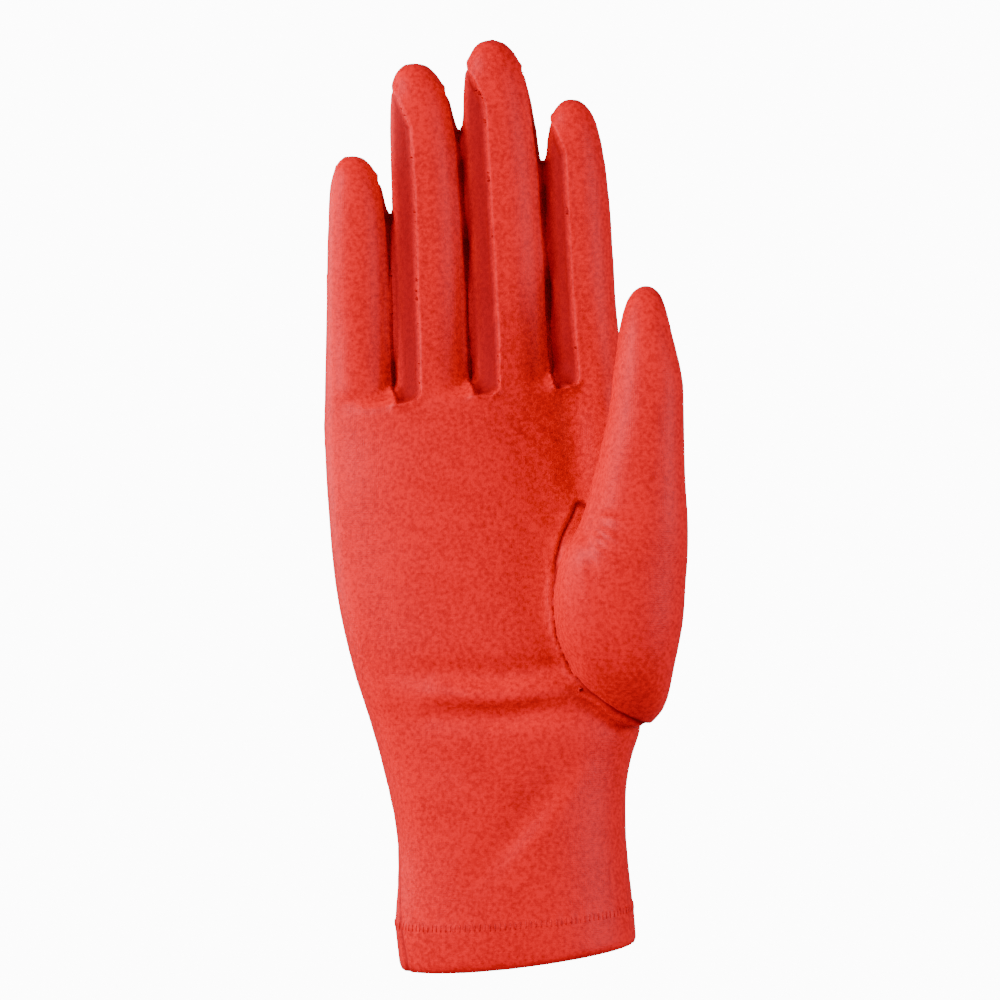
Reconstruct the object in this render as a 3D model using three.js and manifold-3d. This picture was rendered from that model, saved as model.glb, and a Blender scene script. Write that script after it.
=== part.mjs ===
// A wrist length dress glove of thin stretch satin, for a right hand: palm panel, back panel,
// three fourchettes, a set-in thumb and a turned-up hem. Millimetres, fingers up +Z, palm towards -Y,
// thumb towards +X, origin at the middle of the wrist opening.
import * as THREE from "three";
import { mergeVertices } from "three/addons/utils/BufferGeometryUtils.js";
import Module from "manifold-3d";

const wasm = await Module();
wasm.setup();

// Cloth and seams
const clothWall = 1.2;
const seamGap = 0.3;
const fingerGap = 0.7;
// Cuff
const wristWidth = 57.5;
const wristDepth = 40;
const cuffLength = 32;
const hemDepth = 12;
const hemSlant = 6.5;
// Palm
const palmWidth = 76.5;
const palmDepth = 27;
const palmLength = 112;
const crotchTilt = 8;
const palmHollow = 2.6;
const heelFold = 1.1;
// Fingers, from the crotch line to the tip, across and through
const littleLength = 60.2;
const littleWidth = 16;
const ringLength = 83;
const ringWidth = 18.6;
const middleLength = 88.7;
const middleWidth = 19.4;
const indexLength = 74.2;
const indexWidth = 16.1;
const fingerRoundness = 0.92;
const fingerCurl = 7;
const fingerTurn = 0.2;
const fourchetteLap = 4.6;
// Thumb, from the lowest corner of its seam to the tip
const thumbLength = 109;
const thumbWidth = 20.3;
const thumbDepth = 18.8;
const thumbRise = 29.5;

// Finish
const satinRed = 0xf2261f;
const satinRoughness = 0.42;

// Sides of the rings that each form is lofted through
const BODY_SIDES = 30;
const FINGER_SIDES = 14;
const THUMB_SIDES = 18;
const SEAM_LEVELS = 9;
const FAR = 90;
// The exponent that squares a finger's ring, and the least share of a half width that a hollow keeps.
const fingerSquare = 2.15;
const leastHollow = 0.25;
// The level where the palm is widest, and how the hem's slant bends.
const widestLevel = 1.786;
const slantBend = 1.4;

// Body sections: up is 0 at the hem, 1 at the wrist crease and 2 at the crotch line; flare goes from the
// wrist's width to the palm's, slim from the wrist's depth to the palm's, side is the middle's share of the
// palm width to the right, front the middle's share of the depth to the front, square the ring's exponent.
const bodySections = [
  { up: 0, flare: 0.09, slim: 0, side: 0.001, front: 0, square: 2.15 },
  { up: 0.375, flare: 0.12, slim: 0, side: -0.012, front: 0, square: 2.15 },
  { up: 0.69, flare: 0.04, slim: 0.03, side: -0.014, front: 0, square: 2.15 },
  { up: 1, flare: 0, slim: 0.06, side: -0.019, front: 0, square: 2.15 },
  { up: 1.116, flare: 0.12, slim: 0.12, side: -0.034, front: 0.005, square: 2.2 },
  { up: 1.19, flare: 0.3, slim: 0.2, side: -0.038, front: 0.01, square: 2.25 },
  { up: 1.25, flare: 0.51, slim: 0.28, side: -0.036, front: 0.02, square: 2.3 },
  { up: 1.384, flare: 0.726, slim: 0.46, side: -0.074, front: 0.035, square: 2.4 },
  { up: 1.5625, flare: 0.905, slim: 0.71, side: -0.109, front: 0.03, square: 2.5 },
  { up: 1.786, flare: 1, slim: 0.93, side: -0.1275, front: 0.02, square: 2.6 },
  { up: 1.93, flare: 0.97, slim: 1.1, side: -0.14, front: 0.01, square: 2.6 },
];
// The palm's rounded top between the fingers: rise is a share of the middle finger's width, width and depth
// are shares of the palm's own at the crotch line.
const bodyTop = [
  { rise: 0, width: 1, depth: 0.86 },
  { rise: 0.1, width: 0.985, depth: 0.7 },
  { rise: 0.17, width: 0.96, depth: 0.42 },
];
// Levels of the body's rings, shares as in the sections, closer where the heel folds cross.
const bodyLevels = [0.375, 0.8, 1.08, 1.2, 1.29, 1.335, 1.39, 1.47, 1.6, 1.76, 1.93];
// Dents of the palm: side and reach are shares of the palm width, up as in the sections, tall a share of the
// palm length, deep a share of the named depth; lean turns a fold's line upward to the right.
const palmDents = [
  { side: 0.11, up: 1.83, reach: 0.22, tall: 0.2, deep: 1, size: palmHollow, lean: 0 },
  { side: 0.16, up: 1.98, reach: 0.14, tall: 0.06, deep: 0.4, size: palmHollow, lean: 0.1 },
  { side: -0.06, up: 1.39, reach: 0.3, tall: 0.022, deep: 1, size: heelFold, lean: 0.03 },
  { side: -0.04, up: 1.29, reach: 0.26, tall: 0.022, deep: 0.9, size: heelFold, lean: 0.03 },
  { side: -0.05, up: 1.335, reach: 0.3, tall: 0.02, deep: -0.6, size: heelFold, lean: 0.03 },
  { side: 0.02, up: 1.06, reach: 0.16, tall: 0.1, deep: 0.8, size: heelFold, lean: 1.1 },
];
// Fingers from the little one to the index: root is the finger's share of the palm's top, lean how far the
// tip leans to the little side, a share of the finger's width, and bend how late the lean sets in.
const fingers = [
  { name: "little", length: littleLength, width: littleWidth, root: 0.234, lean: 0.11, bend: 3 },
  { name: "ring", length: ringLength, width: ringWidth, root: 0.254, lean: 0.22, bend: 2.2 },
  { name: "middle", length: middleLength, width: middleWidth, root: 0.269, lean: 0.24, bend: 1.4 },
  { name: "index", length: indexLength, width: indexWidth, root: 0.243, lean: 0.19, bend: 1.1 },
];
// A fingertip: down is the distance below the tip and wide the width, both shares of the finger's width.
const tipProfile = [
  { down: 0.03, wide: 0.26 },
  { down: 0.12, wide: 0.48 },
  { down: 0.3, wide: 0.68 },
  { down: 0.65, wide: 0.84 },
  { down: 1.2, wide: 0.95 },
  { down: 1.9, wide: 1 },
];
// Above the crotch line a finger has its full width from this share of the shortest finger on.
const rootReach = 0.42;
// Seams of the fourchettes on a finger's section, as shares of its half width: on the little side the strip
// starts well to the front, on the thumb side it is turned to the back.
const seamShares = { littleFront: 0.15, middle: 0.45, thumbFront: 0.97, thumbBack: 0.5, beyond: 1.3 };
// The same corners through the finger, as shares of its half depth, and how far the strip's cut reaches
// past the cloth, as shares of the finger's half depth and of the palm depth at the crotch.
const seamDepths = { little: 0.9, border: 0.12, middle: 0.1, thumb: 0.37, clear: 1.25, crotch: 0.52 };
// A strip is rounded at the crotch over shares of its lap, and narrows to a point below a tip between two
// shares of the finger's width.
const stripRound = [0.02, 0.2, 0.5, 1];
const stripTip = { levels: [0, 0.15, 0.5, 0.9], from: 0.9, to: 0.15, bend: 1.5 };
// The fingers' rings below their full width, as shares of the way up to it, and how far the four fingers
// together stand to the little side, a share of the palm width.
const fingerRoots = [-0.35, 0, 1];
const fingerShift = 0.012;

// Thumb sections: up is 0 at the seam's lowest corner and 1 at the tip; side is the middle's distance from
// the palm's right edge and wide the width, shares of the thumb width; away is the back's distance in front
// of the middle plane, a share of half the palm depth; deep the depth, a share of the thumb depth.
const thumbSections = [
  { up: 0, side: 0.02, wide: 0.36, away: 0.5, deep: 0.5 },
  { up: 0.035, side: 0, wide: 0.72, away: 0.38, deep: 0.82 },
  { up: 0.077, side: -0.06, wide: 1, away: 0.32, deep: 1.06 },
  { up: 0.13, side: -0.13, wide: 1.24, away: 0.3, deep: 1.25 },
  { up: 0.21, side: -0.17, wide: 1.49, away: 0.3, deep: 1.38 },
  { up: 0.285, side: -0.17, wide: 1.58, away: 0.34, deep: 1.41 },
  { up: 0.375, side: -0.13, wide: 1.56, away: 0.5, deep: 1.34 },
  { up: 0.46, side: -0.01, wide: 1.32, away: 0.78, deep: 1.17 },
  { up: 0.56, side: 0.05, wide: 1.13, away: 0.97, deep: 1.05 },
  { up: 0.645, side: 0.1, wide: 1, away: 1.06, deep: 1 },
  { up: 0.725, side: 0.14, wide: 0.9, away: 1.15, deep: 0.92 },
  { up: 0.785, side: 0.15, wide: 0.855, away: 1.2, deep: 0.855 },
  { up: 0.84, side: 0.14, wide: 0.75, away: 1.25, deep: 0.785 },
  { up: 0.895, side: 0.12, wide: 0.64, away: 1.31, deep: 0.69 },
  { up: 0.948, side: 0.12, wide: 0.51, away: 1.37, deep: 0.55 },
  { up: 0.98, side: 0.13, wide: 0.36, away: 1.44, deep: 0.42 },
  { up: 0.995, side: 0.13, wide: 0.17, away: 1.52, deep: 0.24 },
];
// The thumb's set-in seam: left is the seam's distance from the palm's right edge, a share of the thumb
// width, and behind how far the seam lies behind the thumb's back, a share of the thumb depth.
const thumbSeam = [
  { up: -0.012, left: 0.3, behind: 0.06 },
  { up: 0.004, left: 0.13, behind: 0.08 },
  { up: 0.035, left: -0.21, behind: 0.08 },
  { up: 0.077, left: -0.52, behind: 0.08 },
  { up: 0.13, left: -0.765, behind: 0.08 },
  { up: 0.21, left: -0.925, behind: 0.08 },
  { up: 0.285, left: -0.975, behind: 0.08 },
  { up: 0.375, left: -0.95, behind: 0.08 },
  { up: 0.43, left: -0.87, behind: 0.075 },
  { up: 0.46, left: -0.79, behind: 0.06 },
  { up: 0.52, left: -0.64, behind: 0.06 },
  { up: 0.65, left: -0.5, behind: 0.06 },
  { up: 0.8, left: -0.38, behind: 0.08 },
  { up: 1.03, left: -0.3, behind: 0.08 },
];
// The side seam between palm and back: ahead is its distance in front of the middle plane, a share of the
// wrist depth, from the hem to the crotch line.
const sideSeam = [
  { up: -0.5, ahead: 0.1 },
  { up: 0.9, ahead: 0.1 },
  { up: 1.25, ahead: 0 },
  { up: 1.4, ahead: -0.065 },
  { up: 1.8, ahead: -0.065 },
  { up: 1.97, ahead: 0 },
];

const mix = (a, b, t) => a + (b - a) * t;
const clamp = (v, low, high) => Math.min(high, Math.max(low, v));

// One column of a table at a place between its rows, as a smooth curve through them.
function columnAt(rows, key, column, at) {
  const last = rows.length - 1;
  const place = clamp(at, rows[0][key], rows[last][key]);
  let i = 0;
  while (i < last - 1 && rows[i + 1][key] < place) i++;
  const [p0, p1, p2, p3] = [Math.max(i - 1, 0), i, i + 1, Math.min(i + 2, last)].map((k) => rows[k]);
  const span = p2[key] - p1[key];
  const slope = (a, b) => (b[key] === a[key] ? 0 : (b[column] - a[column]) / (b[key] - a[key]));
  const middle = slope(p1, p2);
  const ends = [slope(p0, p2), slope(p1, p3)].map((m) => {
    if (middle * m <= 0) return 0;
    return Math.sign(m) * Math.min(Math.abs(m), 3 * Math.abs(middle));
  });
  const t = (place - p1[key]) / span;
  return (
    p1[column] * (2 * t ** 3 - 3 * t ** 2 + 1) +
    p2[column] * (3 * t ** 2 - 2 * t ** 3) +
    span * (ends[0] * (t ** 3 - 2 * t ** 2 + t) + ends[1] * (t ** 3 - t ** 2))
  );
}

// Height of a level of the body, where 0 is the hem, 1 the wrist crease and 2 the crotch line.
const levelHeight = (up) => (up < 1 ? up * cuffLength : cuffLength + (up - 1) * palmLength);
const heightLevel = (z) => (z < cuffLength ? z / cuffLength : 1 + (z - cuffLength) / palmLength);
const crotchLine = levelHeight(2);

// A closed solid through rings of points, each counter-clockwise from above and above the one before.
function loft(rings) {
  const sides = rings[0].length;
  const cap = (ring) => THREE.ShapeUtils.triangulateShape(ring.map((p) => new THREE.Vector2(p.x, p.y)), []);
  const top = (rings.length - 1) * sides;
  const index = cap(rings[0]).flatMap(([i, j, k]) => [k, j, i]);
  cap(rings[rings.length - 1]).forEach(([i, j, k]) => index.push(top + i, top + j, top + k));
  for (let a = 0; a < top; a++) {
    const b = (a + 1) % sides ? a + 1 : a + 1 - sides;
    index.push(a, b, b + sides, a, b + sides, a + sides);
  }
  return solid(new THREE.BufferGeometry().setFromPoints(rings.flat()).setIndex(index));
}

// A closed geometry as a solid that can be joined and cut.
function solid(geometry) {
  const bare = geometry.clone();
  bare.deleteAttribute("normal");
  bare.deleteAttribute("uv");
  const merged = mergeVertices(bare, 1e-4);
  return new wasm.Manifold(
    new wasm.Mesh({
      numProp: 3,
      vertProperties: merged.attributes.position.array,
      triVerts: new Uint32Array(merged.index.array),
    }),
  );
}

const join = (solids) => solids.reduce((sum, next) => sum.add(next));

// A rounded ring whose flats touch its half widths across and through; square is the exponent that squares
// it, and turned how far its front is pushed to the little side, a share of the depth.
function ring({ x, y, z, across, through, square, sides, turned = 0 }) {
  const reach = Math.cos(Math.PI / sides) ** (2 / square);
  return Array.from({ length: sides }, (_, i) => {
    const angle = (2 * Math.PI * (i + 0.5)) / sides;
    const [c, s] = [Math.cos(angle), Math.sin(angle)];
    const round = (v) => (Math.sign(v) * Math.abs(v) ** (2 / square)) / reach;
    return new THREE.Vector3(x + across * round(c) + turned * through * round(s), y + through * round(s), z);
  });
}

// How far the palm's front is pushed in at a point, by the hollow and the folds.
function dentAt(x, z) {
  return palmDents.reduce((sum, dent) => {
    const sideways = (x - dent.side * palmWidth) / (dent.reach * palmWidth);
    const line = levelHeight(dent.up) + dent.lean * (x - dent.side * palmWidth);
    const upward = (z - line) / (dent.tall * palmLength);
    return sum + dent.size * dent.deep * Math.exp(-(sideways ** 2) - upward ** 2);
  }, 0);
}

// The hem is cut at a slant: the cloth below the wrist rises towards the thumb side.
function slantRise(x, z) {
  const across = clamp(x / wristWidth + 0.5, 0, 1.1);
  return hemSlant * across ** slantBend * Math.max(0, 1 - z / cuffLength);
}

const bodyMiddle = (z) => columnAt(bodySections, "up", "side", heightLevel(z)) * palmWidth;
const bodyHalf = (z) => mix(wristWidth, palmWidth, columnAt(bodySections, "up", "flare", heightLevel(z))) / 2;
const bodyThrough = (up) => mix(wristDepth, palmDepth, columnAt(bodySections, "up", "slim", up)) / 2;

// One ring of the cuff and palm at a height, the cloth's surface moved in by an inset.
function bodyRing(z, inset, width = 1, depth = 1, lift = 0) {
  const up = heightLevel(z);
  const through = bodyThrough(up);
  const points = ring({
    x: bodyMiddle(z),
    y: -2 * through * columnAt(bodySections, "up", "front", up),
    z,
    across: bodyHalf(z) * width - inset,
    through: through * depth - inset,
    square: columnAt(bodySections, "up", "square", up),
    sides: BODY_SIDES,
  });
  const half = bodyHalf(z);
  points.forEach((p) => {
    const front = clamp(-p.y / (through * depth - inset), 0, 1);
    p.y += dentAt(p.x, z + lift) * Math.sqrt(front) * depth;
    const topward = clamp((up - widestLevel) / (2 - widestLevel), 0, 1);
    p.z += slantRise(p.x, z) + lift + (crotchTilt * topward * (p.x - bodyMiddle(z))) / (2 * half);
  });
  return points;
}

// The cuff and palm between two heights, closed by its rounded top when it reaches the fingers.
function bodySolid(inset, from, to = Infinity) {
  const between = (z) => z > from + clothWall / 2 && z < to - clothWall / 2;
  const levels = bodyLevels.map(levelHeight).filter(between);
  const rings = [from, ...levels].map((z) => bodyRing(z, inset));
  if (to !== Infinity) return loft([...rings, bodyRing(to, inset)]);
  const top = bodyTop.map(({ rise, width, depth }) =>
    bodyRing(crotchLine, inset * depth, width, depth, rise * middleWidth - inset),
  );
  return loft([...rings, ...top]);
}

// Where the fingers stand: their borders at the crotch line and where they reach their full width.
const fullHeight = crotchLine + rootReach * Math.min(...fingers.map((f) => f.length));
const widthSum = fingers.reduce((sum, f) => sum + f.width + fingerGap, 0);
const rootLeft = bodyMiddle(crotchLine) - bodyHalf(crotchLine);
const fullLeft = bodyMiddle(crotchLine) - widthSum / 2 - fingerShift * palmWidth;
fingers.reduce(
  (edge, finger) => {
    finger.rootFrom = edge.root;
    finger.rootTo = edge.root + finger.root * 2 * bodyHalf(crotchLine);
    finger.fullFrom = edge.full;
    finger.fullTo = edge.full + finger.width + fingerGap;
    return { root: finger.rootTo, full: finger.fullTo };
  },
  { root: rootLeft, full: fullLeft },
);

// The fingers curl a little to the front.
const curlAt = (z) => -fingerCurl * Math.max(0, (z - crotchLine) / middleLength) ** 2;

// The palm's half depth under a finger, which the finger's root follows.
function palmDepthAt(x) {
  const { square } = bodySections[bodySections.length - 1];
  const share = Math.abs(x - bodyMiddle(crotchLine)) / bodyHalf(crotchLine);
  return bodyThrough(2) * Math.max(0, 1 - share ** square) ** (1 / square);
}

// A finger's section at a height: its middle and its half width and half depth, without any inset.
function fingerSection(finger, z) {
  const tip = crotchLine + finger.length;
  const share = clamp((z - crotchLine) / (fullHeight - crotchLine), -0.4, 1);
  const left = mix(finger.rootFrom, finger.fullFrom, share);
  const right = mix(finger.rootTo, finger.fullTo, share);
  const wide = columnAt([{ down: 0, wide: 0 }, ...tipProfile], "down", "wide", (tip - z) / finger.width);
  const lean = finger.lean * finger.width * clamp((z - fullHeight) / (tip - fullHeight), 0, 1) ** finger.bend;
  const across = ((right - left - fingerGap) / 2) * wide;
  const grown = clamp(share, 0, 1);
  const rootDepth = (0.95 + 0.6 * Math.min(share, 0)) * palmDepthAt((finger.rootFrom + finger.rootTo) / 2);
  const through = mix(rootDepth, (finger.width / 2) * wide * fingerRoundness, grown * (2 - grown));
  const turned = (fingerTurn * (1 + share)) / 2;
  return { x: (left + right) / 2 - lean, y: curlAt(z), z, across, through, turned };
}

function fingerSolid(finger, inset) {
  const tip = crotchLine + finger.length;
  const tipHeights = tipProfile.map(({ down }) => tip - down * finger.width);
  const straight = fingerRoots.map((t) => mix(crotchLine, fullHeight, t));
  const heights = [...straight, ...tipHeights].sort((a, b) => a - b);
  const rings = heights.map((z) => {
    const section = fingerSection(finger, z);
    const drop = inset * clamp((z - fullHeight) / (tip - fullHeight), 0, 1);
    const shrink = (half) => Math.max(half - inset, leastHollow * half);
    return ring({
      ...section,
      z: z - drop,
      across: shrink(section.across),
      through: shrink(section.through),
      square: fingerSquare,
      sides: FINGER_SIDES,
    });
  });
  return loft(rings);
}

// The thumb stands at the palm's right edge.
const thumbBase = cuffLength + thumbRise;
const thumbEdge = bodyMiddle(levelHeight(widestLevel)) + bodyHalf(levelHeight(widestLevel));

function thumbSection(up) {
  const at = (column) => columnAt(thumbSections, "up", column, up);
  const back = (-at("away") * palmDepth) / 2;
  const deep = at("deep") * thumbDepth;
  return {
    x: thumbEdge + at("side") * thumbWidth,
    y: back - deep / 2,
    z: thumbBase + up * thumbLength,
    across: (at("wide") * thumbWidth) / 2,
    through: deep / 2,
    back,
  };
}

function thumbSolid(inset) {
  const rings = thumbSections.map(({ up }) => {
    const section = thumbSection(up);
    const shrink = (half) => Math.max(half - inset, leastHollow * half);
    return ring({
      ...section,
      z: section.z + inset * (0.5 - up) * 2 * Math.abs(2 * up - 1),
      across: shrink(section.across),
      through: shrink(section.through),
      square: fingerSquare,
      sides: THUMB_SIDES,
    });
  });
  return loft(rings);
}

// The space that belongs to the thumb, grown or shrunk by half a seam gap.
function thumbRegion(grow) {
  const rows = thumbSeam.map(({ up, left, behind }) => {
    const section = thumbSection(clamp(up, 0, 1));
    const z = thumbBase + up * thumbLength;
    const x = thumbEdge + left * thumbWidth - grow;
    const y = section.back + behind * thumbDepth + grow;
    return [
      new THREE.Vector3(x, -FAR, z),
      new THREE.Vector3(FAR, -FAR, z),
      new THREE.Vector3(FAR, y, z),
      new THREE.Vector3(x, y, z),
    ];
  });
  rows[0].forEach((p) => (p.z -= grow));
  return loft(rows);
}

// A flat outline, counter-clockwise, with each side moved outward.
function widened(outline, grow) {
  const count = outline.length;
  const normal = (i) => {
    const along = outline[(i + 1) % count].clone().sub(outline[i % count]).normalize();
    return new THREE.Vector2(along.y, -along.x);
  };
  return outline.map((p, i) => {
    const [before, after] = [normal(i + count - 1), normal(i)];
    return before
      .clone()
      .add(after)
      .multiplyScalar(grow / Math.max(0.3, 1 + before.dot(after)))
      .add(p);
  });
}

const tipHeight = (finger) => crotchLine + finger.length;

// The space between two neighbouring fingers that belongs to their fourchette, grown all round.
function fourchetteRegion(left, right, grow) {
  const tilt = (crotchTilt * (left.rootTo - bodyMiddle(crotchLine))) / (2 * bodyHalf(crotchLine));
  const crotch = crotchLine + tilt + bodyTop[bodyTop.length - 1].rise * middleWidth;
  const bottom = crotch - fourchetteLap - grow;
  const opened = crotch - fourchetteLap / 3;
  const rounded = stripRound.map((t) => mix(bottom, opened, t));
  const tips = [left, right].flatMap((f) => stripTip.levels.map((down) => tipHeight(f) - down * f.width));
  const heights = [...rounded, fullHeight, ...tips].sort((low, high) => low - high);
  const apart = heights.filter((z, i) => i === 0 || z - heights[i - 1] > 0.02 * middleWidth);
  const rows = apart.map((z) => {
    const open = Math.sqrt(1 - (1 - clamp((z - bottom) / (opened - bottom), 0, 1)) ** 2);
    const a = fingerSection(left, Math.min(z, tipHeight(left)));
    const b = fingerSection(right, Math.min(z, tipHeight(right)));
    const free = clamp((z - crotch) / fourchetteLap, 0, 1);
    const { littleFront, middle, thumbFront, thumbBack, beyond } = seamShares;
    const [deepA, deepB] = [a, b].map((section) => Math.max(section.through, palmDepth / 9));
    const reach = mix(seamDepths.crotch * palmDepth, seamDepths.clear * Math.max(deepA, deepB), free);
    // Towards a finger's tip its strip narrows to a point, and above the tip the space opens.
    const below = (f) => (tipHeight(f) - z) / f.width;
    const narrowing = (f) => (stripTip.from - below(f)) / (stripTip.from - stripTip.to);
    const closing = (f) => clamp(narrowing(f), 0, 1) ** stripTip.bend;
    const away = (f, distance) => mix(distance, f.width / 2, closing(f)) - Math.max(0, z - tipHeight(f));
    const onLeft = (share) => a.x + away(left, a.across * share);
    const onRight = (share) => b.x - away(right, b.across * share);
    const border = (onLeft(1) + onRight(1)) / 2;
    const outline = [
      [onLeft(beyond), -reach],
      [onRight(littleFront), -reach],
      [onRight(littleFront), -seamDepths.little * deepB],
      [onRight(middle), 0],
      [border, seamDepths.border * deepB],
      [border, reach],
      [onLeft(thumbBack), reach],
      [onLeft(middle), -seamDepths.middle * deepA],
      [onLeft(thumbFront), -seamDepths.thumb * deepA],
    ];
    const centre = (onLeft(beyond) + border) / 2;
    // A hair's bulge keeps the corners of one side off a straight line.
    const bulge = (x, y) => (Math.sign(x - border + 0.1) * (reach ** 2 - y ** 2)) / reach / 99;
    const narrowed = outline.map(
      ([x, y]) => new THREE.Vector2(mix(centre, x + bulge(x, y), open) + b.turned * y, y),
    );
    return widened(narrowed, grow).map((p) => new THREE.Vector3(p.x, p.y + curlAt(z), z));
  });
  return loft(rows);
}

// Everything in front of the side seam, or behind it, clear of it by half a seam gap.
function sideOfSeam(front) {
  const away = front ? -1 : 1;
  const cuffAndPalm = sideSeam.map(({ up, ahead }) => [-ahead * wristDepth, levelHeight(up)]);
  const overFingers = Array.from({ length: SEAM_LEVELS + 1 }, (_, i) => {
    const z = crotchLine + (i * 1.2 * middleLength) / SEAM_LEVELS;
    return [curlAt(z), z];
  });
  const line = [...cuffAndPalm, ...overFingers].map(([y, z]) => [y + (away * seamGap) / 2, z]);
  const outline = [[away * FAR, line[0][1]], ...line, [away * FAR, line[line.length - 1][1]]];
  const shape = new THREE.Shape(outline.map(([y, z]) => new THREE.Vector2(y, z)));
  const geometry = new THREE.ExtrudeGeometry(shape, { depth: 2 * FAR, bevelEnabled: false });
  const upright = new THREE.Matrix4().makeBasis(
    new THREE.Vector3(0, 1, 0),
    new THREE.Vector3(0, 0, 1),
    new THREE.Vector3(1, 0, 0),
  );
  return solid(geometry.applyMatrix4(upright).translate(-FAR, 0, 0));
}

// The cloth of the whole glove above the hem's edge, before its seams part it.
const edgeHeight = clothWall + seamGap;
const outside = join([bodySolid(0, edgeHeight), ...fingers.map((f) => fingerSolid(f, 0)), thumbSolid(0)]);
const hollow = join([
  bodySolid(clothWall, -hemDepth),
  ...fingers.map((f) => fingerSolid(f, clothWall)),
  thumbSolid(clothWall),
]);
const cloth = outside.subtract(hollow);

const pairs = fingers.slice(1).map((right, i) => [fingers[i], right]);
const halfGap = seamGap / 2;
const seamSpaces = pairs.map(([left, right]) => fourchetteRegion(left, right, seamGap));
const trank = seamSpaces.reduce((rest, space) => rest.subtract(space), cloth).subtract(thumbRegion(halfGap));

// The turned-up hem: the cloth's edge under the panels, and the inner layer behind them.
function cuffHem() {
  const turned = bodySolid(0, 0, clothWall);
  const layer = bodySolid(clothWall + seamGap, 0, hemDepth);
  return turned.add(layer).subtract(bodySolid(2 * clothWall + seamGap, -hemDepth, 2 * hemDepth));
}

const pieces = {
  palm_panel: trank.intersect(sideOfSeam(true)),
  back_panel: trank.intersect(sideOfSeam(false)),
  thumb_piece: cloth.intersect(thumbRegion(-halfGap)),
  cuff_hem: cuffHem(),
};
pairs.forEach(([left, right]) => {
  pieces[`fourchette_${left.name}_${right.name}`] = cloth.intersect(fourchetteRegion(left, right, 0));
});

function mesh(name, made) {
  const { vertProperties, triVerts } = made.getMesh();
  const geometry = new THREE.BufferGeometry();
  geometry.setAttribute("position", new THREE.BufferAttribute(vertProperties, 3));
  geometry.setIndex(new THREE.BufferAttribute(triVerts, 1));
  geometry.computeVertexNormals();
  const satin = new THREE.MeshStandardMaterial({
    name: "satin",
    color: satinRed,
    roughness: satinRoughness,
    metalness: 0,
  });
  const piece = new THREE.Mesh(geometry, satin);
  piece.name = name;
  return piece;
}

const glove = new THREE.Group();
glove.name = "dress_glove";
for (const [name, made] of Object.entries(pieces)) glove.add(mesh(name, made));

export default glove;
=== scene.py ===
"""Looks of a wrist length dress glove of red stretch satin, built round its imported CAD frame.

Metres in Blender, millimetres in the tables. Fingers up +Z, palm towards -Y, thumb towards +X.
"""

import math

import bmesh
import bpy
import numpy as np
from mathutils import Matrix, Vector
from mathutils.bvhtree import BVHTree


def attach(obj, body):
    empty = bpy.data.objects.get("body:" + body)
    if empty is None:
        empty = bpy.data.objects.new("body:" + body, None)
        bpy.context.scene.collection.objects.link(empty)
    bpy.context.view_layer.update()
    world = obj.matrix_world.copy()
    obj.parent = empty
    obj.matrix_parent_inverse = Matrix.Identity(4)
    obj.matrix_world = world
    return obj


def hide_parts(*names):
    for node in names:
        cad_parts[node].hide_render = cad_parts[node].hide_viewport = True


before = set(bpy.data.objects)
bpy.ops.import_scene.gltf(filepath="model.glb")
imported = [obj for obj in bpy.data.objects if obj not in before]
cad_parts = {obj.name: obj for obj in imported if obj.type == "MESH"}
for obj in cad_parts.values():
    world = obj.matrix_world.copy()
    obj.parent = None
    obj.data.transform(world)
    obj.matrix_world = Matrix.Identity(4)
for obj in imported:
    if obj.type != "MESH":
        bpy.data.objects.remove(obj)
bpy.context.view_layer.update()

bl_info = {
    "name": "Dress glove",
    "version": (1, 0, 0),
    "blender": (4, 5, 0),
    "location": "3D View > Sidebar > Glove",
    "description": "Builds a satin dress glove with its seams, hem and stitches",
    "category": "Object",
}

MM = 0.001

# Sizes of the glove, as in its solids, in millimetres.
CUFF_LENGTH = 32.0
PALM_LENGTH = 112.0
WRIST = (57.5, 40.0)
PALM = (76.5, 27.0)
HEM_DEPTH = 12.0
HEM_SLANT = 6.5
CROTCH_TILT = 8.0
PALM_HOLLOW = 2.6
HEEL_FOLD = 1.1
FINGER_GAP = 0.7
FINGER_ROUND = 0.92
FINGER_CURL = 7.0
FINGER_TURN = 0.2
MIDDLE_WIDTH = 19.4
MIDDLE_LENGTH = 88.7
THUMB = (20.3, 18.8, 109.0)
THUMB_RISE = 29.5
# Squareness of the fingers' and the thumb's sections, and of the body's at the crotches. 2 is an ellipse.
FINGER_SQUARE = 2.15
CROTCH_SQUARE = 2.6
# Where the palm is widest and the crotch line's tilt begins, a share of the palm's length.
PALM_WIDEST = 0.786
# Where the fingers have their full width, a share of the shortest one's length.
FINGERS_FULL = 0.42
# How far the row of fingers stands to the little finger's side, a share of the palm's width.
FINGERS_SHIFT = 0.012
# Where a finger's form begins inside the palm, a share of the way up to its full width.
FINGER_ROOT = -0.35
# A finger's depth at the crotches, a share of the palm's depth there, and how fast it thins further down.
ROOT_DEEP, ROOT_THINS = 0.95, 0.6
LEAST_HALF = 0.05

# Rings of the forms: first one below the hem, steps up the body and a finger, and numbers of rings.
BELOW_HEM = -3.0
BODY_STEP, FINGER_STEP = 1.6, 1.5
TOP_FROM, TOP_RINGS = 0.02, 6
TIP_LAST, TIP_RINGS = 0.04, 34
THUMB_RINGS = 80

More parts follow.
